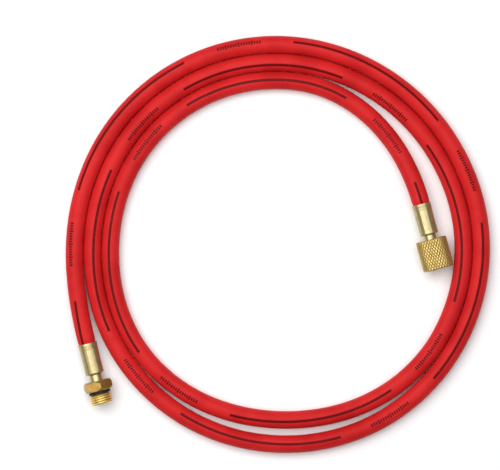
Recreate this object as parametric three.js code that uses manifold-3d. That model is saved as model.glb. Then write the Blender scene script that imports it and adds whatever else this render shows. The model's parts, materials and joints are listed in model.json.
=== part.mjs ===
import * as THREE from "three";
import { mergeVertices } from "three/addons/utils/BufferGeometryUtils.js";
import Module from "manifold-3d";

// A refrigerant charging hose, lying as it was laid down: about two and two thirds flat turns, one strand beside
// the next, with a threaded male fitting on the outer end and a knurled swivel nut on the inner end.
// Millimetres, +Z up. The origin is on the floor, under the middle of the box round the turns.

const GAP = 0.3; // clearance between pieces that touch or run in each other

// Hose
const HOSE_OD = 11.5;
const HOSE_BORE = 5;
const STRAND_GAP = 0.15; // between neighbouring strands of the coil, which all but touch
const HOSE_SIDES = 12;
const BORE_SIDES = 8;

// The lie of the hose. Its route is followed by the angle travelled round the coil, in degrees, clockwise seen
// from above, and starts on the left. Angles below zero belong to the tail that the male fitting is on.
const COIL_RADIUS = 132; // the outermost turn, which a hand laid a little out of round
const RING_OFFSETS = [-1.3, -2.1, -2.7, -3.3, -3.4, -1.9, 0.8, 2.1, 2.7, 2.3, 2, 0.9];
const RING_STEP = 30; // degrees between two of those offsets
const LANE_START = 205; // where each turn begins to move in by one strand
const LANE_SPAN = 180;
const SLACK = 4.1; // how far the second turn sags inwards at the bottom of the coil
const SLACK_AT = 628;
const SLACK_REACH = 60;
const START_ANGLE = -28; // mouth of the male end's ferrule
const END_ANGLE = 885; // mouth of the swivel end's ferrule
const FLARE = 4.1; // how far the tail springs out of the coil
const PULL_IN = 11.8; // how far the inner end leaves its strand
const PULL_START = 818;
const PULL_SPAN = 77;
const LIFT_SPAN = 34; // the hose rises to each fitting's height over this angle
const ROUTE_STEP = 12;

// Crimped ferrules
const FERRULE_LENGTH = 20.5;
const FERRULE_WALL = 0.8;
const FERRULE_END_WALL = 1.6;
const COLLAR_LENGTH = 2.2; // the mouth, which the crimp leaves round
const COLLAR_WALL = 0.45;
const MOUTH_SQUEEZE = 0.3; // how far the mouth nips the hose
const NIP_LENGTH = 2; // the hose narrows over this length before the mouth
const CRIMP_DEPTH = 0.75; // how far the rest of the ferrule squeezes it
const CRIMP_SLOPE = 0.8;
const FERRULE_CHAMFER = 0.7;

// Stems, which both fittings have
const PASSAGE = 2.5;
const THROAT_OD = 6.4; // where the stem passes through the ferrule's end wall
const NECK_OD = 8;
const BARB_COUNT = 4;
const BARB_DEPTH = 0.35;
const STEM_START = 1.5; // from the ferrule's mouth to the stem's tip

// Male fitting
const MALE_NECK = 4.5;
const HEX_FLATS = 17;
const HEX_LENGTH = 6.5;
const HEX_TURN = 16; // degrees that the top flat leans over
const HEX_CHAMFER = 50; // degrees
const THREAD_OD = 14;
const NOSE_LENGTH = 8.6;
const NOSE_BORE = 4;
const NOSE_BORE_DEPTH = 9;
const NOSE_CHAMFER = 0.8;
const O_RING_OD = 14.4;
const O_RING_SECTION = 1.7;
const O_RING_SIDES = 10;

// Swivel end
const SWIVEL_NECK = 3.1;
const NUT_OD = 20.2;
const NUT_LENGTH = 19.8;
const NUT_BACK_WALL = 4.5;
const NUT_CHAMFER = 0.6;
const SOCKET_BORE = 11.8; // middle of the inner thread
const SOCKET_CHAMFER = 0.9;
const FLANGE_CLEARANCE = 0.5;
const FLANGE_LENGTH = 1.8;
const GASKET_LENGTH = 2.2;
const SPIGOT_OD = 4; // what the gasket sits on
const SPIGOT_LENGTH = 1.4;

const ROUND_SIDES = 24;
const NUT_SIDES = 32;

const hoseRadius = HOSE_OD / 2;
const nippedRadius = hoseRadius - MOUTH_SQUEEZE;
const crimpedRadius = hoseRadius - CRIMP_DEPTH;
const barbRadius = HOSE_BORE / 2 - GAP;
const hoseInFerrule = FERRULE_LENGTH - FERRULE_END_WALL - GAP;
const hexCornerRadius = HEX_FLATS / Math.sqrt(3);
const maleAxisHeight = hexCornerRadius * Math.cos(THREE.MathUtils.degToRad(30 - HEX_TURN));
const swivelAxisHeight = NUT_OD / 2;

const materials = {
  hose: new THREE.MeshStandardMaterial({ color: 0xd8252b, roughness: 0.45, metalness: 0 }),
  brass: new THREE.MeshStandardMaterial({ color: 0xc9a24a, roughness: 0.35, metalness: 1 }),
  plated: new THREE.MeshStandardMaterial({ color: 0xd9c27e, roughness: 0.3, metalness: 1 }),
  rubber: new THREE.MeshStandardMaterial({ color: 0x1a1a1a, roughness: 0.6, metalness: 0 }),
};

const wasm = await Module();
wasm.setup();

// Solids

function solidOf(geometry) {
  const bare = geometry.clone();
  bare.deleteAttribute("normal");
  bare.deleteAttribute("uv");
  const merged = mergeVertices(bare, 1e-4);
  const vertProperties = new Float32Array(merged.attributes.position.array);
  const triVerts = new Uint32Array(merged.index.array);
  return new wasm.Manifold(new wasm.Mesh({ numProp: 3, vertProperties, triVerts }));
}

function geometryOf(solid) {
  const mesh = solid.getMesh();
  const geometry = new THREE.BufferGeometry();
  geometry.setAttribute("position", new THREE.BufferAttribute(mesh.vertProperties, 3));
  geometry.setIndex(new THREE.BufferAttribute(mesh.triVerts, 1));
  return geometry;
}

// A turned piece. The outline's points are [radius, distance along +Y], anticlockwise, and it closes on itself.
function turned(outline, sides = ROUND_SIDES) {
  const points = [...outline, outline[0]].map(([radius, along]) => new THREE.Vector2(radius, along));
  return new THREE.LatheGeometry(points, sides);
}

// A polygon whose flats lie at the given radius, one of them square to each axis.
function roundSection(radius, sides) {
  const corner = radius / Math.cos(Math.PI / sides);
  return Array.from({ length: sides }, (_, k) => {
    const turn = (2 * Math.PI * (k + 0.5)) / sides;
    return new THREE.Vector2(corner * Math.cos(turn), corner * Math.sin(turn));
  });
}

// The hose's route

function ease(share) {
  return THREE.MathUtils.smoothstep(share, 0, 1);
}

// The distance of the outermost lane from the middle of the coil, on a smooth curve through RING_OFFSETS.
function ringRadius(angle) {
  const at = angle / RING_STEP;
  const from = Math.floor(at);
  const t = at - from;
  const near = (k) => RING_OFFSETS[THREE.MathUtils.euclideanModulo(from + k, RING_OFFSETS.length)];
  const [a, b, c, d] = [near(-1), near(0), near(1), near(2)];
  return COIL_RADIUS + b + 0.5 * t * (c - a + t * (2 * a - 5 * b + 4 * c - d + t * (3 * (b - c) + d - a)));
}

function lane(angle) {
  const turns = Math.floor((angle - LANE_START) / 360);
  return turns + ease((angle - LANE_START - 360 * turns) / LANE_SPAN);
}

function routeRadius(angle) {
  const sag = THREE.MathUtils.clamp((angle - SLACK_AT) / SLACK_REACH, -1, 1);
  const slack = SLACK * Math.cos((sag * Math.PI) / 2) ** 2;
  const flare = angle < 0 ? FLARE * (angle / START_ANGLE) ** 3 : 0;
  const pull = PULL_IN * ease((angle - PULL_START) / PULL_SPAN);
  return ringRadius(angle) - (HOSE_OD + STRAND_GAP) * lane(angle) - slack + flare - pull;
}

function routeHeight(angle) {
  const maleLift = (maleAxisHeight - hoseRadius) * ease((START_ANGLE + LIFT_SPAN - angle) / LIFT_SPAN);
  const swivelLift = (swivelAxisHeight - hoseRadius) * ease((angle - END_ANGLE + LIFT_SPAN) / LIFT_SPAN);
  return hoseRadius + maleLift + swivelLift;
}

function routePoint(angle) {
  const turn = THREE.MathUtils.degToRad(180 - angle);
  const radius = routeRadius(angle);
  return new THREE.Vector3(radius * Math.cos(turn), radius * Math.sin(turn), routeHeight(angle));
}

// The level direction out of one end of the route.
function outwards(angle, inward) {
  return routePoint(angle).sub(routePoint(angle + inward)).setZ(0).normalize();
}

const startDirection = outwards(START_ANGLE, 0.5);
const endDirection = outwards(END_ANGLE, -0.5);

function hosePoints() {
  const points = [];
  for (let angle = Math.ceil(START_ANGLE / ROUTE_STEP) * ROUTE_STEP; angle < END_ANGLE; angle += ROUTE_STEP)
    points.push(routePoint(angle));
  const [start, end] = [routePoint(START_ANGLE), routePoint(END_ANGLE)];
  return [
    start.clone().addScaledVector(startDirection, hoseInFerrule),
    start,
    ...points,
    end,
    end.clone().addScaledVector(endDirection, hoseInFerrule),
  ];
}

// The chain of points as a path whose sections stay upright, so that the hose lies on a flat.
class HosePath extends THREE.Curve {
  constructor(points) {
    super();
    this.points = points;
  }
  getPoint(t, target = new THREE.Vector3()) {
    const at = t * (this.points.length - 1);
    const from = Math.min(Math.floor(at), this.points.length - 2);
    return target.lerpVectors(this.points[from], this.points[from + 1], at - from);
  }
  getPointAt(u, target) {
    return this.getPoint(u, target);
  }
  computeFrenetFrames(segments) {
    const frames = { tangents: [], normals: [], binormals: [] };
    for (let i = 0; i <= segments; i++) {
      const tangent = this.getTangent(i / segments);
      const side = new THREE.Vector3(0, 0, 1).cross(tangent).negate().normalize();
      frames.tangents.push(tangent);
      frames.normals.push(side.clone().cross(tangent));
      frames.binormals.push(side);
    }
    return frames;
  }
}

// A fitting's own frame: the middle of its ferrule's mouth, with +Y out of the hose.
function fittingFrame(angle, direction) {
  const frame = new THREE.Group();
  frame.position.copy(routePoint(angle));
  frame.quaternion.setFromUnitVectors(new THREE.Vector3(0, 1, 0), direction);
  frame.updateMatrix();
  return frame;
}

function hose(frames) {
  const section = new THREE.Shape(roundSection(hoseRadius, HOSE_SIDES));
  section.holes.push(new THREE.Path(roundSection(HOSE_BORE / 2, BORE_SIDES)));
  const points = hosePoints();
  const options = { steps: points.length - 1, bevelEnabled: false, extrudePath: new HosePath(points) };
  const squeezeStart = COLLAR_LENGTH - CRIMP_SLOPE - GAP;
  const cornerRadius = hoseRadius / Math.cos(Math.PI / HOSE_SIDES);
  const squeezed = [
    [cornerRadius, -NIP_LENGTH],
    [HOSE_OD, -NIP_LENGTH],
    [HOSE_OD, FERRULE_LENGTH],
    [crimpedRadius, FERRULE_LENGTH],
    [crimpedRadius, squeezeStart],
    [nippedRadius, squeezeStart],
    [nippedRadius, -GAP],
  ];
  let solid = solidOf(new THREE.ExtrudeGeometry(section, options));
  for (const frame of frames) solid = solid.subtract(solidOf(turned(squeezed).applyMatrix4(frame.matrix)));
  return geometryOf(solid);
}

// The fittings

function ferrule() {
  const mouthInside = nippedRadius + GAP;
  const collar = mouthInside + COLLAR_WALL;
  const inside = crimpedRadius + GAP;
  const outside = inside + FERRULE_WALL;
  const throat = THROAT_OD / 2 + GAP;
  const insideEnd = FERRULE_LENGTH - FERRULE_END_WALL;
  return turned([
    [mouthInside, 0],
    [collar, 0],
    [collar, COLLAR_LENGTH - CRIMP_SLOPE],
    [outside, COLLAR_LENGTH],
    [outside, FERRULE_LENGTH - FERRULE_CHAMFER],
    [outside - FERRULE_CHAMFER, FERRULE_LENGTH],
    [throat, FERRULE_LENGTH],
    [throat, insideEnd],
    [inside, insideEnd],
    [inside, COLLAR_LENGTH],
    [mouthInside, COLLAR_LENGTH - CRIMP_SLOPE],
  ]);
}

// The outline that both stems share, from the tip's inner edge to the outer end of the neck's shoulder.
function stemOutline() {
  const barbsEnd = FERRULE_LENGTH - FERRULE_END_WALL;
  const pitch = (barbsEnd - STEM_START) / BARB_COUNT;
  const outline = [[PASSAGE / 2, STEM_START]];
  for (let k = 0; k < BARB_COUNT; k++) {
    const from = STEM_START + k * pitch;
    outline.push([barbRadius - BARB_DEPTH, from], [barbRadius, from + 0.8 * pitch], [barbRadius, from + 0.9 * pitch]);
  }
  outline.push([barbRadius - BARB_DEPTH, barbsEnd], [THROAT_OD / 2, barbsEnd]);
  outline.push([THROAT_OD / 2, FERRULE_LENGTH + GAP], [NECK_OD / 2, FERRULE_LENGTH + GAP]);
  return outline;
}

function maleFitting() {
  const hexStart = FERRULE_LENGTH + MALE_NECK;
  const hexEnd = hexStart + HEX_LENGTH;
  const noseEnd = hexEnd + NOSE_LENGTH;
  const groove = O_RING_OD / 2 - O_RING_SECTION - GAP;
  const grooveEnd = hexEnd + O_RING_SECTION + 2 * GAP;
  const narrowing = (NOSE_BORE - PASSAGE) / 2;
  const body = turned([
    ...stemOutline(),
    [NECK_OD / 2, hexEnd],
    [groove, hexEnd],
    [groove, grooveEnd],
    [THREAD_OD / 2, grooveEnd],
    [THREAD_OD / 2, noseEnd - NOSE_CHAMFER],
    [THREAD_OD / 2 - NOSE_CHAMFER, noseEnd],
    [NOSE_BORE / 2, noseEnd],
    [NOSE_BORE / 2, noseEnd - NOSE_BORE_DEPTH],
    [PASSAGE / 2, noseEnd - NOSE_BORE_DEPTH - narrowing],
  ]);
  return geometryOf(solidOf(body).add(hexagon(hexStart, hexEnd)));
}

// The spanner hexagon, with its corners turned off at both ends and the stem's bore left open.
function hexagon(start, end) {
  const flat = HEX_FLATS / 2;
  const corner = hexCornerRadius + GAP;
  const slope = (corner - flat) * Math.tan(THREE.MathUtils.degToRad(HEX_CHAMFER));
  const inside = NECK_OD / 2 - GAP;
  const turn = THREE.MathUtils.degToRad(HEX_TURN - 30);
  const bar = new THREE.CylinderGeometry(hexCornerRadius, hexCornerRadius, end - start, 6, 1, false, turn);
  const limits = turned([
    [inside, start],
    [flat, start],
    [corner, start + slope],
    [corner, end - slope],
    [flat, end],
    [inside, end],
  ]);
  return solidOf(bar.translate(0, (start + end) / 2, 0)).intersect(solidOf(limits));
}

function oRing() {
  const middle = FERRULE_LENGTH + MALE_NECK + HEX_LENGTH + GAP + O_RING_SECTION / 2;
  const section = O_RING_SECTION / 2;
  const ring = O_RING_OD / 2 - section;
  return turned(
    Array.from({ length: O_RING_SIDES }, (_, k) => {
      const turn = (2 * Math.PI * k) / O_RING_SIDES;
      return [ring + section * Math.cos(turn), middle + section * Math.sin(turn)];
    }),
  );
}

const nutStart = FERRULE_LENGTH + SWIVEL_NECK;
const flangeStart = nutStart + NUT_BACK_WALL + GAP;
const gasketStart = flangeStart + FLANGE_LENGTH + GAP;

function swivelStem() {
  const flange = SOCKET_BORE / 2 - FLANGE_CLEARANCE;
  const flangeEnd = flangeStart + FLANGE_LENGTH;
  return turned([
    ...stemOutline(),
    [NECK_OD / 2, flangeStart],
    [flange, flangeStart],
    [flange, flangeEnd],
    [SPIGOT_OD / 2, flangeEnd],
    [SPIGOT_OD / 2, flangeEnd + SPIGOT_LENGTH],
    [PASSAGE / 2, flangeEnd + SPIGOT_LENGTH],
  ]);
}

function swivelNut() {
  const outside = NUT_OD / 2;
  const socket = SOCKET_BORE / 2;
  const nutEnd = nutStart + NUT_LENGTH;
  const backHole = NECK_OD / 2 + GAP;
  return turned(
    [
      [backHole, nutStart],
      [outside - NUT_CHAMFER, nutStart],
      [outside, nutStart + NUT_CHAMFER],
      [outside, nutEnd - NUT_CHAMFER],
      [outside - NUT_CHAMFER, nutEnd],
      [socket + SOCKET_CHAMFER, nutEnd],
      [socket, nutEnd - SOCKET_CHAMFER],
      [socket, nutStart + NUT_BACK_WALL],
      [backHole, nutStart + NUT_BACK_WALL],
    ],
    NUT_SIDES,
  );
}

function gasket() {
  const outside = SOCKET_BORE / 2 - FLANGE_CLEARANCE;
  const inside = SPIGOT_OD / 2 + GAP;
  return turned([
    [inside, gasketStart],
    [outside, gasketStart],
    [outside, gasketStart + GASKET_LENGTH],
    [inside, gasketStart + GASKET_LENGTH],
  ]);
}

function piece(name, geometry, material) {
  const mesh = new THREE.Mesh(geometry, material);
  mesh.name = name;
  return mesh;
}

const maleEnd = fittingFrame(START_ANGLE, startDirection);
const swivelEnd = fittingFrame(END_ANGLE, endDirection);
const hoseMesh = piece("hose", hose([maleEnd, swivelEnd]), materials.hose);

maleEnd.add(
  piece("male_ferrule", ferrule(), materials.plated),
  piece("male_fitting", maleFitting(), materials.brass),
  piece("o_ring", oRing(), materials.rubber),
);
swivelEnd.add(
  piece("swivel_ferrule", ferrule(), materials.plated),
  piece("swivel_stem", swivelStem(), materials.brass),
  piece("swivel_nut", swivelNut(), materials.brass),
  piece("nut_gasket", gasket(), materials.rubber),
);

// The coil's middle is shifted so that the box round the turns is centred on the origin.
const part = new THREE.Group();
const box = new THREE.Box3().setFromObject(hoseMesh);
const middle = box.getCenter(new THREE.Vector3());
part.position.set(-middle.x, -middle.y, 0);
part.add(hoseMesh, maleEnd, swivelEnd);

export default part;
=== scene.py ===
# %% [markdown]
# # A refrigerant charging hose
#
# This is a service hose for air conditioning work: nearly two metres of red rubber hose, laid down
# in about two and two thirds flat turns. A brass fitting with an outer thread is crimped on the
# outer end, and a knurled nut that turns on its stem is on the inner end. The frame holds the
# solids at their real size. Each cell below takes one piece or one finish, says what it is on the
# real hose and how it could be made in Blender, and then makes it.

# %% Load the frame
import json
import math

import bpy
import numpy as np
from mathutils import Matrix, Vector


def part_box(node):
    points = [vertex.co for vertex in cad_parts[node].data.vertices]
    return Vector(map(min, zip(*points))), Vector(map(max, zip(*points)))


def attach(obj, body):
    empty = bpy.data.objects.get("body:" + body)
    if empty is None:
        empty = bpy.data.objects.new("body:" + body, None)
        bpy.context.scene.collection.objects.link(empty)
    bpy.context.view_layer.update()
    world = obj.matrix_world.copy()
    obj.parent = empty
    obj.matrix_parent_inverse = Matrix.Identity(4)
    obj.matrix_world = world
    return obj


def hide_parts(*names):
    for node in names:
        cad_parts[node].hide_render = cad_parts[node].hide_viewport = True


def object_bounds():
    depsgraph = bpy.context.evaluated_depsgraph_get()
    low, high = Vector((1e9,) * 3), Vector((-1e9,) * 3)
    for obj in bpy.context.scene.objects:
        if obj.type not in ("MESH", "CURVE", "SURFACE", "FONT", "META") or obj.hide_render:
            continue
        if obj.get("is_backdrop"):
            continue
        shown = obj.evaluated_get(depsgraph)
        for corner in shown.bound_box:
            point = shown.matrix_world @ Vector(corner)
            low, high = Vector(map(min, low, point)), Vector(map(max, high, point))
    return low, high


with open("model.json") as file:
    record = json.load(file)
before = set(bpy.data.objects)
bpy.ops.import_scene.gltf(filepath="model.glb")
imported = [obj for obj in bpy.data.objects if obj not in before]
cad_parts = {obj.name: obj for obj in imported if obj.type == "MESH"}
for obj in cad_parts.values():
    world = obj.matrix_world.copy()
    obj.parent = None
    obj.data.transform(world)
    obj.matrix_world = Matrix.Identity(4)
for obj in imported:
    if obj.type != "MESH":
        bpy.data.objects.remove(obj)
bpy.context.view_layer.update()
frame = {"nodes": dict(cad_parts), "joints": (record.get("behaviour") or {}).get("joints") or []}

MM = 0.001
print("solids in the frame:", ", ".join(sorted(frame["nodes"])))

# %% [markdown]
# ## The lie of the hose
#
# A hose that is laid down by hand makes turns that are nearly round, each one just inside the last.
# It could be drawn as a Bezier curve by hand, point by point. Here it is worked out in a loop
# instead: the distance from the middle of the coil follows a slightly uneven ring, drops by one
# strand in each turn, and bends away at both ends. The values are the same as in the solids, so the
# fine hose lies exactly where the plain one does.

# %% Work out the route
HOSE_OD = 11.5 * MM
STRAND_GAP = 0.15 * MM
COIL_RADIUS = 132 * MM
RING_OFFSETS = [-1.3, -2.1, -2.7, -3.3, -3.4, -1.9, 0.8, 2.1, 2.7, 2.3, 2, 0.9]  # millimetres
RING_STEP = 30  # degrees from one offset to the next
LANE_START, LANE_SPAN = 205, 180  # degrees: where a turn moves in by one strand, and over what arc
SLACK, SLACK_AT, SLACK_REACH = 4.1 * MM, 628, 60  # a shallow dent in the inner turn
START_ANGLE, END_ANGLE = -28, 885  # degrees along the route, from ferrule to ferrule
FLARE = 4.1 * MM  # how far the outer end bends out
PULL_IN, PULL_START, PULL_SPAN = 11.8 * MM, 818, 77  # how far the inner end bends in, and where
LIFT_SPAN = 34  # degrees in which an end rises to the middle of its fitting
TANGENT_STEP = 0.5  # degrees
HEX_FLATS, HEX_TURN = 17 * MM, 16  # the hexagon's width, and the degrees that it is turned
NUT_OD = 20.2 * MM

hose_radius = HOSE_OD / 2
hex_corner = HEX_FLATS / math.sqrt(3)
male_axis_height = hex_corner * math.cos(math.radians(30 - HEX_TURN))
swivel_axis_height = NUT_OD / 2


def ease(share):
    s = min(max(share, 0), 1)
    return s * s * (3 - 2 * s)


def ring_radius(angle):
    """The uneven ring's radius, on a smooth curve through its offsets."""
    start = math.floor(angle / RING_STEP)
    t = angle / RING_STEP - start
    a, b, c, d = (RING_OFFSETS[(start + k) % len(RING_OFFSETS)] * MM for k in (-1, 0, 1, 2))
    bend = 2 * a - 5 * b + 4 * c - d + t * (3 * (b - c) + d - a)
    return COIL_RADIUS + b + 0.5 * t * (c - a + t * bend)


def lane(angle):
    """How many strands further in the hose lies than it does in its first turn."""
    turns = math.floor((angle - LANE_START) / 360)
    return turns + ease((angle - LANE_START - 360 * turns) / LANE_SPAN)


def route_radius(angle):
    sag = min(max((angle - SLACK_AT) / SLACK_REACH, -1), 1)
    slack = SLACK * math.cos(sag * math.pi / 2) ** 2
    flare = FLARE * (angle / START_ANGLE) ** 3 if angle < 0 else 0
    pull = PULL_IN * ease((angle - PULL_START) / PULL_SPAN)
    return ring_radius(angle) - (HOSE_OD + STRAND_GAP) * lane(angle) - slack + flare - pull


def route_height(angle):
    male_lift = (male_axis_height - hose_radius) * ease((START_ANGLE + LIFT_SPAN - angle) / LIFT_SPAN)
    swivel_lift = (swivel_axis_height - hose_radius) * ease((angle - END_ANGLE + LIFT_SPAN) / LIFT_SPAN)
    return hose_radius + male_lift + swivel_lift


def route_point(angle):
    turn = math.radians(180 - angle)
    radius = route_radius(angle)
    return Vector((radius * math.cos(turn), radius * math.sin(turn), route_height(angle)))


def level_direction(angle, inward):
    way = route_point(angle) - route_point(angle + inward)
    way.z = 0
    return way.normalized()


male_direction = level_direction(START_ANGLE, TANGENT_STEP)
swivel_direction = level_direction(END_ANGLE, -TANGENT_STEP)
print("turns of the hose:", round((END_ANGLE - START_ANGLE) / 360, 2))

# %% [markdown]
# The route above is measured from the middle of the coil. The solids are centred on the box round
# the turns, so one known point settles where that middle is: the swivel joint lies on the nut's
# axis, a fixed distance past the ferrule.

# %% Place the route and the two fittings
FERRULE_LENGTH = 20.5 * MM
SWIVEL_NECK = 3.1 * MM
NUT_BACK_WALL = 4.5 * MM
# From the ferrule's mouth to the joint's point.
JOINT_DEPTH = FERRULE_LENGTH + SWIVEL_NECK + NUT_BACK_WALL / 2

joint = frame["joints"][0]
swivel_mouth = Vector(joint["pos_m"]) - Vector(joint["axis"]).normalized() * JOINT_DEPTH
coil_middle = swivel_mouth - route_point(END_ANGLE)
coil_middle.z = 0


def placed(angle):
    return route_point(angle) + coil_middle


def fitting_frame(angle, direction):
    """A matrix whose +Y runs out of the hose and +Z is up, at the middle of the ferrule's mouth."""
    side = direction.cross(Vector((0, 0, 1)))
    axes = Matrix((side, direction, Vector((0, 0, 1)))).transposed().to_4x4()
    return Matrix.Translation(placed(angle)) @ axes


male_frame = fitting_frame(START_ANGLE, male_direction)
swivel_frame = fitting_frame(END_ANGLE, swivel_direction)
low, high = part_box("male_ferrule")
ferrule_middle = male_frame @ Vector((0, FERRULE_LENGTH / 2, 0))
solid_middle = (Vector(low) + Vector(high)) / 2
off = [round(value / MM, 2) for value in ferrule_middle - solid_middle]
print("male ferrule is off its solid by", off, "mm")

# %% [markdown]
# ## Camera, floor and light
#
# The photograph looks straight down on the hose from far enough away that nothing leans, so the
# camera is a long lens high above the floor. Its width at the hose is set from one measure, the
# millimetres that one pixel of the photograph covers. The light is a plain studio: a white floor,
# one wide soft panel as a ceiling, a smaller and nearer panel at the upper left that gives the
# brass its highlights, and a dim grey all round, so that the brass has something dark to mirror
# too.

# %% Camera
PHOTO_WIDTH, PHOTO_HEIGHT = 500, 470
MM_PER_PIXEL = 0.65 * MM
COIL_BOX_AT = (277.95, 244.75)  # the pixel that the middle of the turns' box has in the photograph
CAMERA_HEIGHT = 1.8
SENSOR = 36

scene = bpy.context.scene
camera_data = bpy.data.cameras.new("camera")
camera_data.sensor_width = SENSOR
camera_data.lens = SENSOR * (CAMERA_HEIGHT - hose_radius) / (PHOTO_WIDTH * MM_PER_PIXEL)
camera = bpy.data.objects.new("camera", camera_data)
camera.location = (
    (PHOTO_WIDTH / 2 - COIL_BOX_AT[0]) * MM_PER_PIXEL,
    (COIL_BOX_AT[1] - PHOTO_HEIGHT / 2) * MM_PER_PIXEL,
    CAMERA_HEIGHT,
)
scene.collection.objects.link(camera)
scene.camera = camera
print("lens", round(camera_data.lens), "mm")

# %% Floor and lights
FLOOR_SIDE = 6.0
FLOOR_WHITE, FLOOR_ROUGHNESS = 0.92, 0.9
ROOM_GREY, ROOM_STRENGTH = (0.8, 0.82, 0.85, 1), 0.13


def panel(name, position, target, size, watts):
    """A soft light panel that faces a point."""
    data = bpy.data.lights.new(name, "AREA")
    data.shape = "RECTANGLE"
    data.size, data.size_y = size
    data.energy = watts
    light = bpy.data.objects.new(name, data)
    light.location = position
    aim = Vector(target) - Vector(position)
    light.rotation_euler = aim.to_track_quat("-Z", "Y").to_euler()
    light.visible_camera = False
    scene.collection.objects.link(light)
    print(name, watts, "W")


floor_mesh = bpy.data.meshes.new("floor")
half = FLOOR_SIDE / 2
floor_corners = [(-half, -half, 0), (half, -half, 0), (half, half, 0), (-half, half, 0)]
floor_mesh.from_pydata(floor_corners, [], [(0, 1, 2, 3)])
floor = bpy.data.objects.new("floor", floor_mesh)
scene.collection.objects.link(floor)
floor_paint = bpy.data.materials.new("floor_paint")
floor_paint.use_nodes = True
paint = floor_paint.node_tree.nodes["Principled BSDF"]
paint.inputs["Base Color"].default_value = (FLOOR_WHITE, FLOOR_WHITE, FLOOR_WHITE, 1)
paint.inputs["Roughness"].default_value = FLOOR_ROUGHNESS
floor_mesh.materials.append(floor_paint)
floor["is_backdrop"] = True

panel("ceiling_panel", position=(-0.7, 0.2, 2.3), target=(-0.7, 0.2, 0), size=(5.5, 2.6), watts=74)
panel("near_panel", position=(-0.35, 0.42, 0.95), target=(-0.1, 0.1, 0), size=(1.0, 1.0), watts=8)

world = bpy.data.worlds.new("studio")
world.use_nodes = True
room = world.node_tree.nodes["Background"]
room.inputs["Color"].default_value = ROOM_GREY
room.inputs["Strength"].default_value = ROOM_STRENGTH
scene.world = world
scene.view_settings.view_transform = "Standard"

# %% [markdown]
# ## A helper: skin over a stack of rings
#
# The hose, the ferrules and every turned fitting are the same kind of shape: rings of points, one
# after the other, joined by a skin. A screw or a spin of an outline makes perfectly round pieces,
# but here a ring may also be a hexagon, a crimp or a thread, so the points come from arrays, and
# the skin is made in one go. Each face gets a place in a UV map called "skin": how far along the
# rings it is, and how far round. Each point also keeps its "relief", its height in a thread or a
# knurl, so that a material can darken the grooves.

# %% The ring skin helper
SKIN_MAP = "skin"
RELIEF = "relief"
SHARP_ANGLE = 32  # degrees between two faces from which their edge is sharp
FACE_SPLITS = {  # which of a face's four corners each of its parts takes
    0: [(0, 1, 2, 3)],
    1: [(0, 1, 2), (0, 2, 3)],
    2: [(0, 1, 3), (1, 2, 3)],
}


def ring_skin(
    name, rings, along, around, sharp_angle=SHARP_ANGLE, soft_rings=None, creases=None, relief=None,
):
    """A closed mesh object over rings, an array of rings by points by xyz; the last ring joins the first.

    soft_rings is the first and last of the rings between which no edge is sharp. creases says for each
    face whether it is split along its first diagonal (1), along its second (2) or not at all (0). relief
    says for each point how high it stands in a thread or a knurl, from 0 in the groove to 1 on the crest.
    """
    count, sides = rings.shape[:2]
    ring, point = np.meshgrid(np.arange(count), np.arange(sides), indexing="ij")
    ring_corners = np.stack([ring, ring, ring + 1, ring + 1], -1)
    point_corners = np.stack([point, point + 1, point + 1, point], -1)
    index = (ring_corners % count) * sides + point_corners % sides
    places = np.stack([along[ring_corners], around[point_corners]], -1)
    splits = np.zeros((count, sides), int) if creases is None else creases
    faces, skin = [], []
    for kind, parts in FACE_SPLITS.items():
        for part in parts:
            faces += index[splits == kind][:, part].tolist()
            skin.append(places[splits == kind][:, part].reshape(-1, 2))
    skin = np.concatenate(skin).astype(np.float32)
    heights = np.ones((count, sides)) if relief is None else relief
    heights = heights.astype(np.float32)
    mesh = bpy.data.meshes.new(name)
    mesh.from_pydata(rings.reshape(-1, 3), [], faces)
    mesh.uv_layers.new(name=SKIN_MAP).data.foreach_set("uv", skin.ravel())
    mesh.attributes.new(RELIEF, "FLOAT", "POINT").data.foreach_set("value", heights.ravel())
    if signed_volume(mesh) < 0:
        mesh.flip_normals()
    mesh.shade_smooth()
    mesh.set_sharp_from_angle(angle=math.radians(sharp_angle))
    if soft_rings:
        soften(mesh, sides, *soft_rings)
    piece = bpy.data.objects.new(name, mesh)
    scene.collection.objects.link(piece)
    print(name, "has", len(mesh.polygons), "faces")
    return piece


def soften(mesh, sides, first, last):
    """Takes the sharp mark off the edges between two rings."""
    ends = np.empty(len(mesh.edges) * 2, int)
    mesh.edges.foreach_get("vertices", ends)
    ring = ends.reshape(-1, 2) // sides
    sharp = np.empty(len(mesh.edges), bool)
    mesh.attributes["sharp_edge"].data.foreach_get("value", sharp)
    sharp[((ring > first) & (ring < last)).all(1)] = False
    mesh.attributes["sharp_edge"].data.foreach_set("value", sharp)


def signed_volume(mesh):
    """The volume inside the mesh, under zero where its faces point inwards."""
    mesh.calc_loop_triangles()
    points = np.empty(len(mesh.vertices) * 3)
    mesh.vertices.foreach_get("co", points)
    corners = np.empty(len(mesh.loop_triangles) * 3, int)
    mesh.loop_triangles.foreach_get("vertices", corners)
    a, b, c = points.reshape(-1, 3)[corners.reshape(-1, 3)].transpose(1, 0, 2)
    return float(np.einsum("ij,ij->i", a, np.cross(b, c)).sum() / 6)


# %% [markdown]
# ## The hose
#
# The real hose is an extruded rubber tube over a braid, which prints through as a very faint weave.
# A curve object with a round bevel would give the shape in one line, but its surface then has no
# place to paint the stripe on. So the hose is a ring skin along the route. The map's second number
# starts from the printed stripe, which wanders round the hose by up to a twelfth of a turn, because
# the hose twisted a little as it was laid down.

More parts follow.
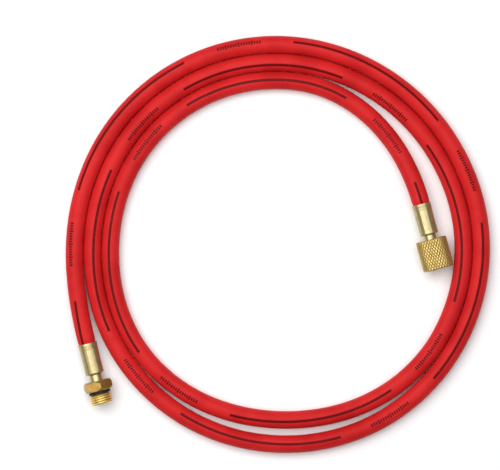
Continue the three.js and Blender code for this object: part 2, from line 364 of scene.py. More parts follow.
# %% Measure the route
ANGLE_STEP = 0.75
FINE_STEP, FINE_COUNT = 0.2, 7  # closer points next to the ferrules, where the hose is nipped
MOUTH_SQUEEZE = 0.3 * MM
NIP_LENGTH = 2 * MM
CRIMP_DEPTH = 0.75 * MM
COLLAR_LENGTH = 2.2 * MM
CRIMP_SLOPE = 0.8 * MM
FERRULE_END_WALL = 1.6 * MM
GAP = 0.3 * MM
HOSE_BORE = 5 * MM

hose_in_ferrule = FERRULE_LENGTH - FERRULE_END_WALL - GAP
squeeze_start = COLLAR_LENGTH - CRIMP_SLOPE - GAP
nipped_radius = hose_radius - MOUTH_SQUEEZE
crimped_radius = hose_radius - CRIMP_DEPTH

fine = np.arange(FINE_COUNT) * FINE_STEP
first_coarse, last_coarse = START_ANGLE + FINE_COUNT * FINE_STEP, END_ANGLE - FINE_COUNT * FINE_STEP
coarse_steps = round((last_coarse - first_coarse) / ANGLE_STEP)
coarse = np.linspace(first_coarse, last_coarse, coarse_steps + 1)
angles = np.concatenate([START_ANGLE + fine, coarse, END_ANGLE - fine[::-1]])
free_points = np.array([placed(angle) for angle in angles])
free_length = float(np.linalg.norm(np.diff(free_points, axis=0), axis=1).sum())
print("free length of the hose", round(free_length, 3), "m")

# %% Skin the hose
HOSE_SIDES = 40
STRIPE_LEAN = [  # distance from the male ferrule in metres, degrees that the stripe leans outwards there
    (0, 26), (0.03, 17), (0.1, 28), (0.2, 20), (0.39, 14), (0.52, 5), (0.65, -2), (0.75, -8),
    (0.85, -7), (0.93, -12), (1.0, -16), (1.1, -20), (1.18, -23), (1.29, -10), (1.37, 0),
    (1.47, 13), (1.56, 9), (1.65, 7), (1.75, 2), (1.92, 1),
]
CRIMP_STEP = 0.4 * MM
inner_stops = np.array([hose_in_ferrule, FERRULE_LENGTH / 2, squeeze_start + CRIMP_STEP, squeeze_start])
start_point, end_point = free_points[0], free_points[-1]
head = start_point + np.outer(inner_stops, male_direction)
tail = end_point + np.outer(inner_stops[::-1], swivel_direction)
hose_path = np.vstack([head, free_points, tail])

tangents = np.gradient(hose_path, axis=0)
tangents[: len(head)] = -np.array(male_direction)
tangents[-len(tail) :] = np.array(swivel_direction)
tangents /= np.linalg.norm(tangents, axis=1)[:, None]
outward = np.cross(np.array([0, 0, 1]), tangents)
outward /= np.linalg.norm(outward, axis=1)[:, None]
upward = np.cross(tangents, outward)

steps = np.linalg.norm(np.diff(hose_path, axis=0), axis=1)
runs = np.concatenate([[0], np.cumsum(steps)]) - hose_in_ferrule
lean = np.radians(np.interp(runs, *zip(*STRIPE_LEAN)))
turns = np.linspace(0, 2 * np.pi, HOSE_SIDES + 1)
about = lean[:, None] + turns[None, :-1] + np.pi
depth = np.maximum(-runs, runs - free_length)  # how far inside a ferrule
radii = np.interp(
    depth, [-NIP_LENGTH, -GAP, squeeze_start, squeeze_start + CRIMP_STEP],
    [hose_radius, nipped_radius, nipped_radius, crimped_radius],
)[:, None]


def tube_rings(radius):
    return hose_path[:, None] + radius[..., None] * (
        np.sin(about)[..., None] * outward[:, None] + np.cos(about)[..., None] * upward[:, None]
    )


outer = tube_rings(np.broadcast_to(radii, about.shape))
bore = tube_rings(np.full(about.shape, HOSE_BORE / 2))
hose_rings = np.concatenate([outer, bore[::-1]])
hose_runs = np.concatenate([runs, runs[::-1], runs[:1]])
hose = ring_skin("charging_hose", hose_rings, hose_runs, turns / (2 * np.pi))
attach(hose, "hose_body")
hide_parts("hose")

# %% [markdown]
# ## The hose's rubber
#
# The rubber is a strong red with a soft shine. A broken dark line is printed along it, and between
# two dashes there is a printed mark, which here is only a row of plain ticks. Both could be an
# image, but then the print would blur close up. They are drawn with numbers instead: the map says
# how far along the hose and how far round it a point is, and a few sums turn that into ink or no
# ink. The braid underneath shows as a very faint cross-hatch in the bump.

# %% Helpers for node materials
def new_material(name):
    material = bpy.data.materials.new(name)
    material.use_nodes = True
    return material, material.node_tree.nodes["Principled BSDF"]


def add_node(material, kind, inputs=None, **settings):
    """A node with its settings and its inputs, which are numbers, colours or other nodes' outputs."""
    made = material.node_tree.nodes.new(kind)
    for key, value in settings.items():
        setattr(made, key, value)
    for key, value in (inputs or {}).items():
        if isinstance(value, bpy.types.NodeSocket):
            material.node_tree.links.new(value, made.inputs[key])
        else:
            made.inputs[key].default_value = value
    return made


def link(material, output, target):
    material.node_tree.links.new(output, target)


def sums(material, operation, *values):
    """The output of a Math node."""
    return add_node(material, "ShaderNodeMath", dict(enumerate(values)), operation=operation).outputs[0]


def step_between(material, value, start, end):
    """A number that goes smoothly from 0 at start to 1 at end."""
    inputs = {"Value": value, "From Min": start, "From Max": end}
    step = add_node(material, "ShaderNodeMapRange", inputs, interpolation_type="SMOOTHSTEP")
    return step.outputs["Result"]


def spread(material, value, low_value, high_value, low_in=0.0, high_in=1.0):
    """The value, moved in proportion from the range low_in to high_in into another one."""
    inputs = {"Value": value, "From Min": low_in, "From Max": high_in}
    inputs.update({"To Min": low_value, "To Max": high_value})
    return add_node(material, "ShaderNodeMapRange", inputs).outputs["Result"]


def clouds(material, place, scale, detail):
    """Soft noise from 0 to 1."""
    inputs = {"Vector": place, "Scale": scale, "Detail": detail}
    return add_node(material, "ShaderNodeTexNoise", inputs).outputs["Fac"]


def bumps(material, height):
    """A surface direction that follows heights in metres."""
    inputs = {"Height": height, "Distance": 1.0, "Strength": 1.0}
    return add_node(material, "ShaderNodeBump", inputs).outputs["Normal"]


def own_place(material):
    """The point's place in its own object, so that noise stays on the piece."""
    return add_node(material, "ShaderNodeTexCoord").outputs["Object"]


def skin_places(material):
    """Outputs for how far along and how far round a point of the skin is."""
    skin = add_node(material, "ShaderNodeUVMap", uv_map=SKIN_MAP)
    parts = add_node(material, "ShaderNodeSeparateXYZ", {0: skin.outputs[0]})
    return parts.outputs["X"], parts.outputs["Y"]


def tinted(material, factor, first, second):
    """A colour between two others."""
    inputs = {"Factor": factor, "A": first, "B": second}
    return add_node(material, "ShaderNodeMix", inputs, data_type="RGBA").outputs["Result"]


# %% Red rubber with its printed line
RED = (0.59, 0.018, 0.019, 1)
DEEP_RED = (0.49, 0.012, 0.013, 1)
INK = (0.12, 0.001, 0.002, 1)
PRINT_PERIOD = 180.4 * MM
DASH_LENGTH = 108.5 * MM
FIRST_DASH = 100.1 * MM  # from the male ferrule's mouth to the start of the first whole dash
LINE_WIDTH = 1.7 * MM
MARK_START, MARK_LENGTH = 131 * MM, 28.6 * MM  # from a dash's start
TICK_PITCH, TICK_WIDTH = 1.7 * MM, 1.05 * MM
LONG_TICK, SHORT_TICK = 3 * MM, 2.1 * MM
TICKS_IN_GROUP = 5  # four short ticks and a long one
INK_EDGE = 0.08 * MM
RED_SHINE = 0.08  # the specular level
CLOUD_SCALE, GRAIN_SCALE = 45.0, 900.0  # noise to the metre

mark_middle = MARK_START + MARK_LENGTH / 2


def ink_band(material, distance, half_width):
    """1 where distance, taken either way, is under half_width."""
    away = sums(material, "ABSOLUTE", distance)
    bare = step_between(material, away, half_width - INK_EDGE, half_width + INK_EDGE)
    return sums(material, "SUBTRACT", 1.0, bare)


def tick_row(material, from_middle, across, pitch, height):
    """Ticks of one height, a pitch apart, with one in the middle of the mark."""
    place = sums(material, "PINGPONG", from_middle, pitch / 2)
    in_tick = ink_band(material, place, TICK_WIDTH / 2)
    return sums(material, "MULTIPLY", in_tick, ink_band(material, across, height / 2))


def printed_ink(material, along, across):
    """1 in the dashes of the line and in the ticks between them."""
    run = sums(material, "SUBTRACT", along, FIRST_DASH)
    cycle = sums(material, "FLOORED_MODULO", run, PRINT_PERIOD)
    from_dash_middle = sums(material, "SUBTRACT", cycle, DASH_LENGTH / 2)
    in_dash = ink_band(material, from_dash_middle, DASH_LENGTH / 2)
    line = sums(material, "MULTIPLY", in_dash, ink_band(material, across, LINE_WIDTH / 2))
    from_middle = sums(material, "SUBTRACT", cycle, mark_middle)
    in_mark = ink_band(material, from_middle, MARK_LENGTH / 2)
    short_ticks = tick_row(material, from_middle, across, TICK_PITCH, SHORT_TICK)
    long_ticks = tick_row(material, from_middle, across, TICK_PITCH * TICKS_IN_GROUP, LONG_TICK)
    ticks = sums(material, "MULTIPLY", in_mark, sums(material, "MAXIMUM", short_ticks, long_ticks))
    return sums(material, "MAXIMUM", line, ticks)


def red_rubber():
    material, shader = new_material("red_rubber")
    shader.inputs["Specular IOR Level"].default_value = RED_SHINE
    along, around = skin_places(material)
    from_line = sums(material, "SUBTRACT", around, 0.5)
    across = sums(material, "MULTIPLY", from_line, math.pi * HOSE_OD)
    place = own_place(material)
    cloud = clouds(material, place, CLOUD_SCALE, 3.0)
    grain = clouds(material, place, GRAIN_SCALE, 2.0)
    rubber = tinted(material, step_between(material, cloud, 0.35, 0.7), RED, DEEP_RED)
    rubbed = step_between(material, grain, 0.1, 0.4)  # the ink is thin here and there
    ink = sums(material, "MULTIPLY", printed_ink(material, along, across), rubbed)
    link(material, tinted(material, ink, rubber, INK), shader.inputs["Base Color"])
    link(material, spread(material, grain, 0.36, 0.5), shader.inputs["Roughness"])
    height = braid_height(material, along, across, grain)
    link(material, bumps(material, height), shader.inputs["Normal"])
    return material


BRAID_PITCH = 1.3 * MM
BRAID_DEPTH = 0.012 * MM
GRAIN_DEPTH = 0.015 * MM


def braid_height(material, along, across, grain):
    """The faint cross-hatch of the braid under the rubber, and the rubber's own grain."""
    waves = []
    for operation in ("ADD", "SUBTRACT"):
        slant = sums(material, operation, along, across)
        phase = sums(material, "MULTIPLY", slant, 2 * math.pi / BRAID_PITCH)
        waves.append(sums(material, "SINE", phase))
    braid = sums(material, "MULTIPLY", sums(material, "MAXIMUM", *waves), BRAID_DEPTH)
    return sums(material, "MULTIPLY_ADD", grain, GRAIN_DEPTH, braid)


hose.data.materials.append(red_rubber())
print("dashes on the hose:", math.floor((free_length - FIRST_DASH) / PRINT_PERIOD) + 2)

# %% [markdown]
# ## Brass
#
# All the metal is brass, but it doesn't look the same everywhere: the crimped ferrules and the
# necks are bright and pale, the hexagon is a darker bronze, the thread is a brighter yellow copy
# of the brass, painted light that lifts its flanks where they mirror the dim room, and the nut is a
# warm gold. It could be one material for all. Here one function makes four of them, one a finish.
# The colour wanders between two shades, fine rings run round the piece where a lathe tool cut it,
# and the roughness wanders too, because on metal that is what the eye reads as finish. Old oil and
# tarnish stay in the grooves of a thread or a knurl, so low relief turns brown and dull.

# %% Brass finishes
GROOVE_BROWN = (0.26, 0.15, 0.04, 1)
GROOVE_FROM, GROOVE_FULL = 0.5, 0.05  # the relief at which the brown starts, and at which it is full
GROOVE_DULLNESS = 0.2
RING_PITCH = 0.12 * MM
STAIN_SCALE = 260.0
BRASS_METAL = 0.8  # the rest is a dull skin of oxide


def brass(name, bright, dull, roughness, ring_depth):
    material, shader = new_material(name)
    shader.inputs["Metallic"].default_value = BRASS_METAL
    along, around = skin_places(material)
    stain = clouds(material, own_place(material), STAIN_SCALE, 4.0)
    height = add_node(material, "ShaderNodeAttribute", attribute_name=RELIEF).outputs["Fac"]
    groove = step_between(material, height, GROOVE_FROM, GROOVE_FULL)
    metal = tinted(material, step_between(material, stain, 0.3, 0.75), bright, dull)
    link(material, tinted(material, groove, metal, GROOVE_BROWN), shader.inputs["Base Color"])
    tool_place = add_node(material, "ShaderNodeCombineXYZ", {
        "X": sums(material, "DIVIDE", along, RING_PITCH),
        "Y": sums(material, "MULTIPLY", around, 3.0),
    }).outputs[0]
    rings = clouds(material, tool_place, 1.0, 2.0)
    marks = sums(material, "ADD", stain, rings)
    polish = spread(material, marks, roughness - 0.07, roughness + 0.1, 0.6, 1.4)
    dulled = sums(material, "MULTIPLY_ADD", groove, GROOVE_DULLNESS, polish)
    link(material, dulled, shader.inputs["Roughness"])
    tool_marks = sums(material, "MULTIPLY", rings, ring_depth)
    link(material, bumps(material, tool_marks), shader.inputs["Normal"])
    print(name, "is about", roughness, "rough")
    return material


# Name, bright colour, dull colour, roughness and the depth of the tool's rings.
ferrule_brass = brass("ferrule_brass", (0.5, 0.42, 0.23, 1), (0.44, 0.345, 0.15, 1), 0.33, 0.004 * MM)
fitting_brass = brass("fitting_brass", (0.47, 0.29, 0.075, 1), (0.36, 0.205, 0.05, 1), 0.34, 0.006 * MM)
# The thread's copy is painted brighter, standing in for light on its flanks where they mirror the dim
# room.
thread_brass_painted_light = brass("thread_brass_painted_light", (0.92, 0.65, 0.19, 1), (0.8, 0.54, 0.15, 1), 0.38, 0.003 * MM)
nut_brass = brass("nut_brass", (0.66, 0.49, 0.165, 1), (0.57, 0.4, 0.12, 1), 0.35, 0.003 * MM)

# %% [markdown]
# ## The crimped ferrules
#
# Each end of the hose is held in a brass ferrule, a deep cup that a press with eight jaws squeezes
# onto it. The jaws leave eight shallow flats with a thin ridge between them, and they stop short of
# the mouth, which stays round. It could be made as a cylinder with eight bevelled dents, but the
# press marks are the same on every ring of the squeezed part, so the ring skin takes them straight
# from a formula.

# %% Helpers for turned pieces
CORNER_POINTS = 4


def eased(outline, radius):
    """The outline, a list of (radius, distance along), with CORNER_POINTS points round each corner."""
    points = [np.array(p, float) for p in outline]
    out = []
    for k, corner in enumerate(points):
        before, after = points[k - 1] - corner, points[(k + 1) % len(points)] - corner
        reach = min(radius, 0.45 * np.linalg.norm(before), 0.45 * np.linalg.norm(after))
        start = corner + before / np.linalg.norm(before) * reach
        end = corner + after / np.linalg.norm(after) * reach
        for t in np.linspace(0, 1, CORNER_POINTS):
            out.append((1 - t) ** 2 * start + 2 * t * (1 - t) * corner + t**2 * end)
    return np.array(out)


def rings_at(frame_matrix, radius, along, turn):
    """Rings by points by xyz, from each point's radius, distance along and angle from the top."""
    radius, along, turn = np.broadcast_arrays(radius, along, turn)
    local = np.stack([radius * np.sin(turn), along, radius * np.cos(turn)], -1)
    matrix = np.array(frame_matrix)
    return local @ matrix[:3, :3].T + matrix[:3, 3]


def outline_run(outline):
    """How far along its outline each ring is, with one more entry for the step back to the first."""
    closed = np.vstack([outline, outline[:1]])
    return np.concatenate([[0], np.cumsum(np.linalg.norm(np.diff(closed, axis=0), axis=1))])


TURNED_EDGE = 0.15 * MM
TURNED_SIDES = 96


def turned(name, frame_matrix, outline, edge=TURNED_EDGE):
    """A round piece from its outline."""
    soft = eased(outline, edge)
    turn = np.linspace(0, 2 * np.pi, TURNED_SIDES + 1)
    rings = rings_at(frame_matrix, soft[:, :1], soft[:, 1:], turn[None, :-1])
    return ring_skin(name, rings, outline_run(soft), turn / (2 * np.pi))


def fit_out(piece, node, body, material):
    """The piece takes its node's place, body and material."""
    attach(piece, body)
    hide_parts(node)
    piece.data.materials.append(material)


# %% Ferrules
FERRULE_WALL = 0.8 * MM
COLLAR_WALL = 0.45 * MM
FERRULE_CHAMFER = 0.7 * MM
FERRULE_EDGE = 0.2 * MM
THROAT_OD = 6.4 * MM
JAWS = 8
FERRULE_SIDES = JAWS * 24
RIDGE_HALF_WIDTH = 0.5 * MM
RIDGE_HEIGHT = 0.09 * MM
JAW_START, JAW_END = 3.4 * MM, 18.9 * MM
JAW_BLEND = 0.5 * MM


def press_marks(turn, along, radius, lean):
    """How far the jaws pushed the brass in at each point; lean is the angle of one ridge from the top."""
    from_ridge = np.abs(((turn - lean) * JAWS / (2 * np.pi) + 0.5) % 1 - 0.5) * 2 * np.pi / JAWS * radius
    flat = np.clip(from_ridge / RIDGE_HALF_WIDTH, 0, 1)
    pressed = RIDGE_HEIGHT * flat * flat * (3 - 2 * flat)
    into = np.clip((along - JAW_START) / JAW_BLEND, 0, 1) * np.clip((JAW_END - along) / JAW_BLEND, 0, 1)
    return pressed * into


def ferrule(name, frame_matrix, lean):
    mouth_inside = nipped_radius + GAP
    collar = mouth_inside + COLLAR_WALL
    inside = crimped_radius + GAP
    outside = inside + FERRULE_WALL
    throat = THROAT_OD / 2 + GAP
    inside_end = FERRULE_LENGTH - FERRULE_END_WALL
    outline = eased([
        (mouth_inside, 0), (collar, 0), (collar, COLLAR_LENGTH - CRIMP_SLOPE), (outside, COLLAR_LENGTH),
        (outside, JAW_START), (outside, JAW_START + JAW_BLEND),
        (outside, JAW_END - JAW_BLEND), (outside, JAW_END),
        (outside, FERRULE_LENGTH - FERRULE_CHAMFER), (outside - FERRULE_CHAMFER, FERRULE_LENGTH),
        (throat, FERRULE_LENGTH), (throat, inside_end), (inside, inside_end), (inside, COLLAR_LENGTH),
        (mouth_inside, COLLAR_LENGTH - CRIMP_SLOPE),
    ], FERRULE_EDGE)
    turn = np.linspace(0, 2 * np.pi, FERRULE_SIDES + 1)
    marks = press_marks(turn[None, :-1], outline[:, 1:], outside, math.radians(lean))
    radius = outline[:, :1] - marks * (outline[:, :1] > outside - GAP)
    rings = rings_at(frame_matrix, radius, outline[:, 1:], turn[None, :-1])
    return ring_skin(name, rings, outline_run(outline), turn / (2 * np.pi))


male_ferrule = ferrule("crimped_ferrule_male", male_frame, lean=13)
fit_out(male_ferrule, "male_ferrule", "hose_body", ferrule_brass)
swivel_ferrule = ferrule("crimped_ferrule_swivel", swivel_frame, lean=-19)
fit_out(swivel_ferrule, "swivel_ferrule", "hose_body", ferrule_brass)

# %% [markdown]
# ## The male fitting
#
# This fitting is turned from hexagonal bar in one piece: a barbed stem inside the hose, a neck, the
# spanner hexagon, a groove for the O-ring and a nose with a fine metric thread. It could be a
# cylinder joined to a prism with a Boolean, and a Screw modifier for the thread, but the joints
# between them would need cleaning. One ring skin holds all of it: a hexagonal ring is a round one
# whose radius grows towards six corners, and a thread is a radius that depends on the distance
# along and the angle together.

# %% Stem outline
PASSAGE = 2.5 * MM
NECK_OD = 8 * MM
BARB_COUNT, BARB_DEPTH = 4, 0.35 * MM
BARB_TOP, BARB_END = 0.8, 0.9  # shares of a barb's length at which it is full and at which it drops
STEM_START = 1.5 * MM
BARB_RADIUS = HOSE_BORE / 2 - GAP


def stem_outline():
    barbs_end = FERRULE_LENGTH - FERRULE_END_WALL
    pitch = (barbs_end - STEM_START) / BARB_COUNT
    outline = [(PASSAGE / 2, STEM_START)]
    for k in range(BARB_COUNT):
        start = STEM_START + k * pitch
        outline += [(BARB_RADIUS - BARB_DEPTH, start)]
        outline += [(BARB_RADIUS, start + BARB_TOP * pitch), (BARB_RADIUS, start + BARB_END * pitch)]
    outline += [(BARB_RADIUS - BARB_DEPTH, barbs_end), (THROAT_OD / 2, barbs_end)]
    outline += [(THROAT_OD / 2, FERRULE_LENGTH + GAP), (NECK_OD / 2, FERRULE_LENGTH + GAP)]
    return outline


# %% Thread, hexagon and stacks of rings
def thread_height(place, crest, root):
    """From 1 on a thread's crest to 0 at its root, for a place in turns of the thread."""
    flank = (1 - crest - root) / 2
    x = np.abs((place + 0.5) % 1 - 0.5)
    return 1 - np.clip((x - crest / 2) / flank, 0, 1)


def hex_radius(turn, first_corner):
    """The radius of the hexagon, whose flats are HEX_FLATS apart."""
    from_flat = (turn - first_corner) % (math.pi / 3) - math.pi / 6
    return HEX_FLATS / 2 / np.cos(from_flat)


def stacked(frame_matrix, stacks, points):
    """Rings, and how far along each is, from pairs of arrays: radius and distance along of each point."""
    rings = np.concatenate([rings_at(frame_matrix, radius, along, points) for radius, along in stacks])
    wide = [np.broadcast_to(along, (len(along), points.shape[1])) for _, along in stacks]
    runs = np.concatenate(wide).mean(axis=1)
    return rings, np.append(runs, runs[0])


def outline_stack(outline):
    """The outline as such a pair."""
    return outline[:, :1], outline[:, 1:]


# %% Male fitting
MALE_NECK = 4.5 * MM
HEX_LENGTH = 6.5 * MM
HEX_CHAMFER = math.radians(50)
HEX_FACE_OD = 16.6 * MM
THREAD_OD, THREAD_PITCH, THREAD_DEPTH = 14 * MM, 1.5 * MM, 0.4 * MM
THREAD_CREST, THREAD_ROOT = 0.36, 0.1  # shares of the pitch
NOSE_LENGTH, NOSE_CHAMFER = 8.6 * MM, 0.8 * MM
NOSE_BORE, NOSE_BORE_DEPTH = 4 * MM, 9 * MM
O_RING_OD, O_RING_SECTION = 14.4 * MM, 1.7 * MM
FITTING_SIDES = 144
ROWS_PER_THREAD = 16
FITTING_EDGE = 0.12 * MM

hex_start = FERRULE_LENGTH + MALE_NECK
hex_end = hex_start + HEX_LENGTH
nose_end = hex_end + NOSE_LENGTH


def hexagon_stack(points, first_corner):
    """Four rings: a round face, the hexagon's two ends and a round face, with chamfers between them."""
    corner = hex_radius(points, first_corner)
    slope = (corner - HEX_FACE_OD / 2) * math.tan(HEX_CHAMFER)
    face = np.full_like(points, HEX_FACE_OD / 2)
    start, end = np.full_like(points, hex_start), np.full_like(points, hex_end)
    radius = np.concatenate([face, corner, corner, face])
    return radius, np.concatenate([start, start + slope, end - slope, end])


def male_fitting():
    """The fitting, with the first of its faces on the hexagon and the first on the thread."""
    groove = O_RING_OD / 2 - O_RING_SECTION - GAP
    groove_end = hex_end + O_RING_SECTION + 2 * GAP
    turn = math.radians(HEX_TURN - 30) + np.linspace(0, 2 * np.pi, FITTING_SIDES + 1)
    points = turn[None, :-1]
    shank_outline = stem_outline() + [(NECK_OD / 2, hex_start), (HEX_FACE_OD / 2, hex_start)]
    shank = eased(shank_outline, FITTING_EDGE)[:-CORNER_POINTS]
    neck = eased([
        (HEX_FACE_OD / 2, hex_end), (groove, hex_end), (groove, groove_end), (THREAD_OD / 2, groove_end),
    ], FITTING_EDGE)[CORNER_POINTS:-CORNER_POINTS]
    narrowing = (NOSE_BORE - PASSAGE) / 2
    nose = eased([
        (THREAD_OD / 2 - NOSE_CHAMFER, nose_end), (NOSE_BORE / 2, nose_end),
        (NOSE_BORE / 2, nose_end - NOSE_BORE_DEPTH),
        (PASSAGE / 2, nose_end - NOSE_BORE_DEPTH - narrowing), (PASSAGE / 2, STEM_START + PASSAGE),
    ], FITTING_EDGE)[CORNER_POINTS:]

    along = np.arange(groove_end, nose_end, THREAD_PITCH / ROWS_PER_THREAD)[:, None]
    height = thread_height(along / THREAD_PITCH - points / (2 * np.pi), THREAD_CREST, THREAD_ROOT)
    cone = np.minimum(nose_end - along, along - groove_end) - NOSE_CHAMFER
    threaded = np.minimum(THREAD_OD / 2 - THREAD_DEPTH * (1 - height), THREAD_OD / 2 + cone)

    hexagon = hexagon_stack(points, turn[0])
    stacks = [outline_stack(shank), hexagon, outline_stack(neck), (threaded, along), outline_stack(nose)]
    rings, runs = stacked(male_frame, stacks, points)
    first_thread = len(shank) + len(hexagon[0]) + len(neck)
    thread_end = first_thread + len(along)
    relief = np.ones(rings.shape[:2])
    relief[first_thread:thread_end] = height
    piece = ring_skin(
        "threaded_fitting", rings, runs, (turn - turn[0]) / (2 * np.pi),
        soft_rings=(first_thread, thread_end - 1), relief=relief,
    )
    return piece, len(shank) * FITTING_SIDES, first_thread * FITTING_SIDES


threaded_fitting, first_hex_face, first_thread_face = male_fitting()
fit_out(threaded_fitting, "male_fitting", "hose_body", fitting_brass)
threaded_fitting.data.materials.append(ferrule_brass)
threaded_fitting.data.materials.append(thread_brass_painted_light)
for face in threaded_fitting.data.polygons[:first_hex_face]:
    face.material_index = 1  # the neck is turned as bright as a ferrule
for face in threaded_fitting.data.polygons[first_thread_face:]:
    face.material_index = 2  # the thread takes the brighter copy: painted light on its flanks

# %% [markdown]
# ## The O-ring
#
# A plain rubber ring sits in the groove under the hexagon and seals the joint. A torus primitive
# would do, but it comes without the map that the other pieces have, so the same skin runs round a
# small circle.

# %% Black rubber and the O-ring
COAL, DUSTY_COAL = (0.009, 0.008, 0.008, 1), (0.024, 0.02, 0.018, 1)
COAL_SHINE = 0.25  # the specular level
DUST_SCALE = 700.0
SECTION_POINTS = 20


def black_rubber():
    material, shader = new_material("black_rubber")
    dust = clouds(material, own_place(material), DUST_SCALE, 3.0)
    shader.inputs["Specular IOR Level"].default_value = COAL_SHINE
    link(material, tinted(material, dust, COAL, DUSTY_COAL), shader.inputs["Base Color"])
    link(material, spread(material, dust, 0.35, 0.6), shader.inputs["Roughness"])
    return material


def round_outline(middle_radius, middle_along, section):
    turn = np.linspace(0, 2 * np.pi, SECTION_POINTS, endpoint=False)
    reach = section / 2
    return [(middle_radius + reach * math.cos(t), middle_along + reach * math.sin(t)) for t in turn]


seal_rubber = black_rubber()
o_ring_at = hex_end + GAP + O_RING_SECTION / 2
o_ring_outline = round_outline((O_RING_OD - O_RING_SECTION) / 2, o_ring_at, O_RING_SECTION)
o_ring = turned("o_ring_seal", male_frame, o_ring_outline)
fit_out(o_ring, "o_ring", "hose_body", seal_rubber)

# %% [markdown]
# ## The swivel end
#
# The other fitting ends in a flange. The nut slips over the stem before the ferrule goes on, and
# the flange keeps it there, free to turn. A rubber gasket sits on a short spigot in front of the
# flange, where the port presses on it.

# %% Swivel stem and gasket
SOCKET_BORE = 11.8 * MM
FLANGE_CLEARANCE, FLANGE_LENGTH = 0.5 * MM, 1.8 * MM
GASKET_LENGTH = 2.2 * MM
GASKET_EDGE = 0.3 * MM
SPIGOT_OD, SPIGOT_LENGTH = 4 * MM, 1.4 * MM

nut_start = FERRULE_LENGTH + SWIVEL_NECK
flange_start = nut_start + NUT_BACK_WALL + GAP
flange_end = flange_start + FLANGE_LENGTH
gasket_start = flange_end + GAP
flange_radius = SOCKET_BORE / 2 - FLANGE_CLEARANCE

swivel_stem = turned("swivel_stem_brass", swivel_frame, stem_outline() + [
    (NECK_OD / 2, flange_start), (flange_radius, flange_start), (flange_radius, flange_end),
    (SPIGOT_OD / 2, flange_end), (SPIGOT_OD / 2, flange_end + SPIGOT_LENGTH),
    (PASSAGE / 2, flange_end + SPIGOT_LENGTH),
])
fit_out(swivel_stem, "swivel_stem", "hose_body", ferrule_brass)

gasket = turned("port_gasket", swivel_frame, [
    (SPIGOT_OD / 2 + GAP, gasket_start), (flange_radius, gasket_start),
    (flange_radius, gasket_start + GASKET_LENGTH), (SPIGOT_OD / 2 + GAP, gasket_start + GASKET_LENGTH),
], edge=GASKET_EDGE)
fit_out(gasket, "nut_gasket", "hose_body", seal_rubber)

# %% [markdown]
# ## The knurled nut
#
# The nut is turned by hand, so its whole outside carries a diamond knurl: two sets of fine grooves
# that cross at sixty degrees and leave small pyramids with blunt tops. A bump map would look flat
# along the outline, so the pyramids are real. The trick is to let the mesh follow them. The rows
# are spaced so that a groove moves by one point from row to row, and each face is then split along
# the groove or ridge that crosses it, which keeps every crease crisp.

# %% Swivel nut
NUT_LENGTH = 19.8 * MM
NUT_CHAMFER, SOCKET_CHAMFER = 0.6 * MM, 0.9 * MM
KNURL_COUNT = 32
POINTS_PER_KNURL = 8
KNURL_ANGLE = math.radians(30)
KNURL_DEPTH = 0.27 * MM
KNURL_BLUNT = 0.75  # share of a full pyramid that is left
INNER_PITCH, INNER_DEPTH = 1.5875 * MM, 0.6 * MM
INNER_CREST, INNER_ROOT = 0.37, 0.37  # shares of the pitch
ROWS_PER_INNER_THREAD = 6
NUT_BACK_EDGE, NUT_EDGE = 0.25 * MM, 0.15 * MM
NUT_SHARP_ANGLE = 25  # degrees

nut_end = nut_start + NUT_LENGTH


def knurl_rows():
    """Radius, distance along, height and split of each face, on the rows of the nut's outside."""
    sides = KNURL_COUNT * POINTS_PER_KNURL
    row_step = math.pi * NUT_OD / sides / math.tan(KNURL_ANGLE)
    count = round(NUT_LENGTH / row_step)
    row, point = np.meshgrid(np.arange(count + 1), np.arange(sides), indexing="ij")
    half = POINTS_PER_KNURL / 2
    rising = np.abs((row + point) % POINTS_PER_KNURL - half) / half
    falling = np.abs((point - row) % POINTS_PER_KNURL - half) / half
    height = np.minimum(np.minimum(rising, falling), KNURL_BLUNT) / KNURL_BLUNT
    along = nut_start + row * NUT_LENGTH / count
    cone = np.minimum(along - nut_start, nut_end - along) - NUT_CHAMFER
    radius = NUT_OD / 2 + np.minimum(-KNURL_DEPTH * (1 - height), cone)
    splits = np.where((row + point) % 2 == 0, 1, 2)
    return radius, along, height, splits


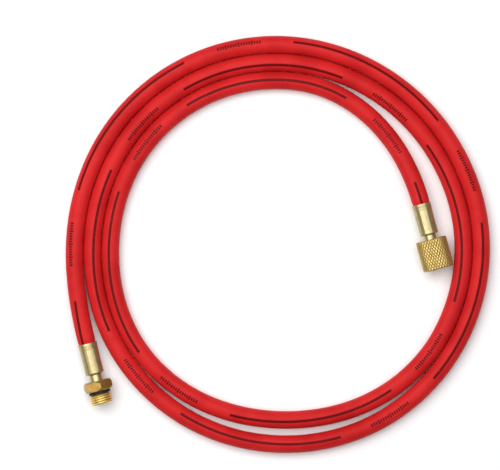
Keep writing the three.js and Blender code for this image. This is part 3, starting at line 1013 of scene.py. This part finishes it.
def swivel_nut():
    socket = SOCKET_BORE / 2
    socket_end = nut_start + NUT_BACK_WALL
    run_out = socket + INNER_DEPTH / 2
    back_hole = NECK_OD / 2 + GAP
    radius, along, height, splits = knurl_rows()
    turn = np.linspace(0, 2 * np.pi, radius.shape[1] + 1)
    points = turn[None, :-1]
    back = eased([
        (back_hole, socket_end), (back_hole, nut_start), (NUT_OD / 2 - NUT_CHAMFER, nut_start),
    ], NUT_BACK_EDGE)[CORNER_POINTS:-CORNER_POINTS]
    mouth = eased([
        (NUT_OD / 2 - NUT_CHAMFER, nut_end), (socket + SOCKET_CHAMFER, nut_end),
        (socket, nut_end - SOCKET_CHAMFER),
    ], NUT_EDGE)[CORNER_POINTS:-CORNER_POINTS]
    bottom = eased([
        (run_out, socket_end + INNER_PITCH), (run_out, socket_end), (back_hole, socket_end),
        (back_hole, nut_start),
    ], NUT_EDGE)[:-CORNER_POINTS]

    row_step = INNER_PITCH / ROWS_PER_INNER_THREAD
    depth = np.arange(nut_end - SOCKET_CHAMFER, socket_end + INNER_PITCH, -row_step)[:, None]
    inner = thread_height(depth / INNER_PITCH - points / (2 * np.pi), INNER_CREST, INNER_ROOT)
    rings, runs = stacked(swivel_frame, [
        outline_stack(back), (radius, along), outline_stack(mouth),
        (socket + INNER_DEPTH * (0.5 - inner), depth), outline_stack(bottom),
    ], points)
    knurl_end = len(back) + len(radius)
    first_thread = knurl_end + len(mouth)
    thread_end = first_thread + len(depth)
    creases = np.zeros(rings.shape[:2], int)
    creases[len(back) : knurl_end - 1] = splits[:-1]
    relief = np.ones(rings.shape[:2])
    relief[len(back) : knurl_end] = height
    relief[first_thread:thread_end] = inner
    return ring_skin(
        "knurled_nut", rings, runs, turn / (2 * np.pi), sharp_angle=NUT_SHARP_ANGLE,
        soft_rings=(first_thread, thread_end), creases=creases, relief=relief,
    )


nut = swivel_nut()
fit_out(nut, "swivel_nut", "nut_body", nut_brass)

# %% [markdown]
# ## The finished model's box
#
# The last cell measures the box round the finished model, leaving out the floor.

# %% Finish
low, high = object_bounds()
